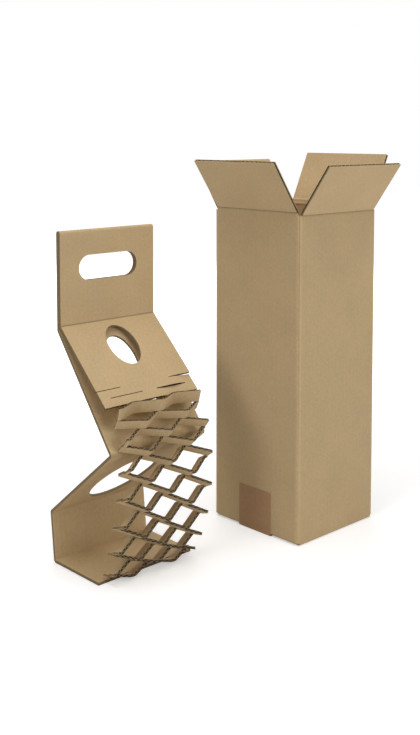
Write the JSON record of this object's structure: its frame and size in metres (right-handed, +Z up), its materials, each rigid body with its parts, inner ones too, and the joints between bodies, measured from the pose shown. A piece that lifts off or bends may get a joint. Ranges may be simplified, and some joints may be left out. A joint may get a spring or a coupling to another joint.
{
  "type": "bottle shipping box",
  "caption": "Tall square corrugated carton with hinged top flaps and, beside it, the folded corrugated holder with a hand slot and an opened slit lattice that carries a bottle inside it.",
  "frame": {"origin": "centre of the carton's base, on the surface that it stands on", "axes": "+Z up, +X out of the right side wall, +Y out of the back end wall; the holder stands beside the front end wall, on -Y"},
  "size_m": [0.2071, 0.3777, 0.4298],
  "materials": {
    "kraft_board": "matte brown kraft liner",
    "packing_tape": "brown tape with a slight sheen"
  },
  "bodies": {
    "carton": {"carton_body": "kraft_board", "bottom_tape": "packing_tape", "holder_sheet": "kraft_board", "holder_lattice": "kraft_board"},
    "end_flap_front": {"end_flap_front": "kraft_board"},
    "end_flap_back": {"end_flap_back": "kraft_board"},
    "side_flap_right": {"side_flap_right": "kraft_board"},
    "side_flap_left": {"side_flap_left": "kraft_board"}
  },
  "joints": [
    {"name": "end_flap_front_hinge", "type": "hinge", "parent": "carton", "child": "end_flap_front", "pos_m": [0, -0.066, 0.3692], "axis": [1, 0, 0], "range_deg": [-124.5, 115.5]},
    {"name": "end_flap_back_hinge", "type": "hinge", "parent": "carton", "child": "end_flap_back", "pos_m": [0, 0.066, 0.3692], "axis": [-1, 0, 0], "range_deg": [-115, 125]},
    {"name": "side_flap_right_hinge", "type": "hinge", "parent": "carton", "child": "side_flap_right", "pos_m": [0.066, 0, 0.366], "axis": [0, 1, 0], "range_deg": [-125.5, 114.5]},
    {"name": "side_flap_left_hinge", "type": "hinge", "parent": "carton", "child": "side_flap_left", "pos_m": [-0.066, 0, 0.366], "axis": [0, -1, 0], "range_deg": [-124.5, 115.5]}
  ]
}
